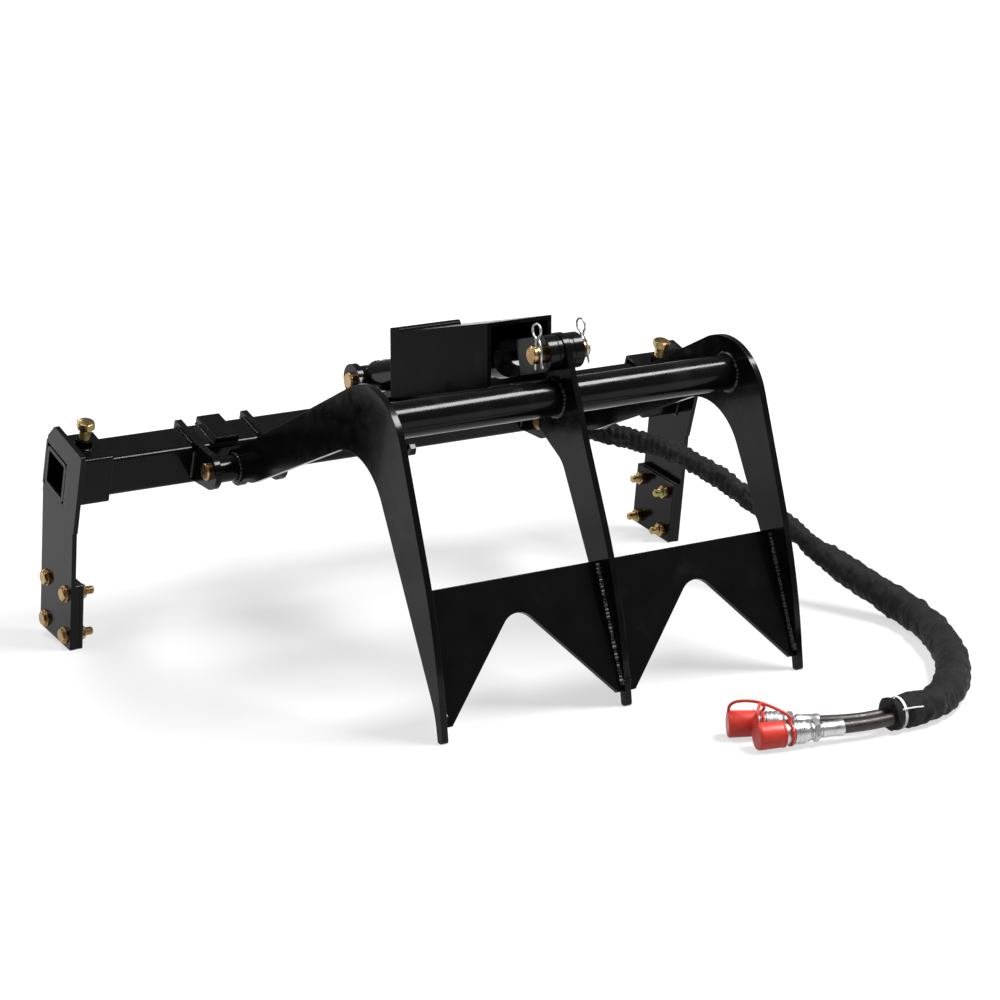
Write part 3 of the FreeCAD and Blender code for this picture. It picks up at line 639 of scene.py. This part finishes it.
for hand in (-1, 1):
    for side_x in (25.25, 34.75):
        x = hand * (side_x + (0.6 if side_x > 30 else -0.6))
        frame_welds.bead([on_tube(x, h + 0.6, -h + 6), on_tube(x, h + 0.6, h - 6)], 2.2)
        frame_welds.bead([on_tube(x, -h + 6, -h - 0.6), on_tube(x, h - 6, -h - 0.6)], 2.2)
for x0, x1 in ((-312.0, -274.0), (274.0, 312.0)):
    frame_welds.bead([on_tube(x0 - 0.4, -h, h + 0.4), on_tube(x0 - 0.4, h - 2, h + 0.4)], 1.8)
    frame_welds.bead([on_tube(x1 + 0.4, -h, h + 0.4), on_tube(x1 + 0.4, h - 2, h + 0.4)], 1.8)
frame_welds.finish("frame", weld_coat_painted_glint, "black_coat")

barrel_welds = Piece("barrel_welds")
across = X.cross(ahead)
for place, radius in ((24.6, 23.0), (383.6, 25.0)):
    centre = at(0, *base_pin) + ahead * (place / 1000)
    ring = [centre + (X * math.cos(a) + across * math.sin(a)) * (radius / 1000)
            for a in (2 * math.pi * k / 56 for k in range(56))]
    barrel_welds.bead(ring, 2.2, closed=True)
barrel_welds.finish("barrel", weld_coat_painted_glint, "black_coat")

# Floor, world and lamps
floor_mesh = bpy.data.meshes.new("floor")
floor_mesh.from_pydata([(-14, -14, 0), (14, -14, 0), (14, 14, 0), (-14, 14, 0)], [], [(0, 1, 2, 3)])
floor = bpy.data.objects.new("floor", floor_mesh)
bpy.context.scene.collection.objects.link(floor)
pale, tree, shader = material("floor", Base_Color=(0.30, 0.30, 0.30), Roughness=0.9,
                              Specular_IOR_Level=0.0, Emission_Color=(1.0, 1.0, 1.0))
floor_mesh.materials.append(pale)
# the pale floor turns to plain white away from the object, and only to what looks at it
distance = add(tree, "ShaderNodeVectorMath", operation="LENGTH")
tree.links.new(tree.nodes.new("ShaderNodeTexCoord").outputs["Object"], distance.inputs[0])
glow = spread(tree, distance.outputs["Value"], 0.50, 0.97, 0.0, 1.9)
path = tree.nodes.new("ShaderNodeLightPath")
looked_at = path.outputs["Is Camera Ray"]
for kind in ("Is Glossy Ray", "Is Transmission Ray"):
    either = add(tree, "ShaderNodeMath", operation="MAXIMUM")
    tree.links.new(looked_at, either.inputs[0])
    tree.links.new(path.outputs[kind], either.inputs[1])
    looked_at = either.outputs[0]
shown = add(tree, "ShaderNodeMath", operation="MULTIPLY")
tree.links.new(glow, shown.inputs[0])
tree.links.new(looked_at, shown.inputs[1])
tree.links.new(shown.outputs[0], shader.inputs["Emission Strength"])

world = bpy.data.worlds.new("world")
bpy.context.scene.world = world
world.use_nodes = True
world.node_tree.nodes["Background"].inputs["Color"].default_value = (1, 1, 1, 1)
world.node_tree.nodes["Background"].inputs["Strength"].default_value = 0.16


def lamp(name, place, target, size, power):
    data = bpy.data.lights.new(name, "AREA")
    data.shape = "RECTANGLE"
    data.size, data.size_y = size
    data.energy = power
    light = bpy.data.objects.new(name, data)
    light.location = place
    light.rotation_euler = (Vector(target) - Vector(place)).to_track_quat("-Z", "Y").to_euler()
    bpy.context.scene.collection.objects.link(light)


lamp("key", (1.5, -1.2, 3.0), (0, -0.1, 0.3), (1.8, 0.7), 168)
lamp("left", (-1.1, 0.1, 2.8), (0, 0, 0.2), (1.2, 0.7), 26)
lamp("rear", (-0.7, 2.4, 2.4), (0, 0, 0.3), (2.2, 0.3), 26)

bpy.context.scene.view_settings.view_transform = "Standard"
bpy.context.view_layer.update()
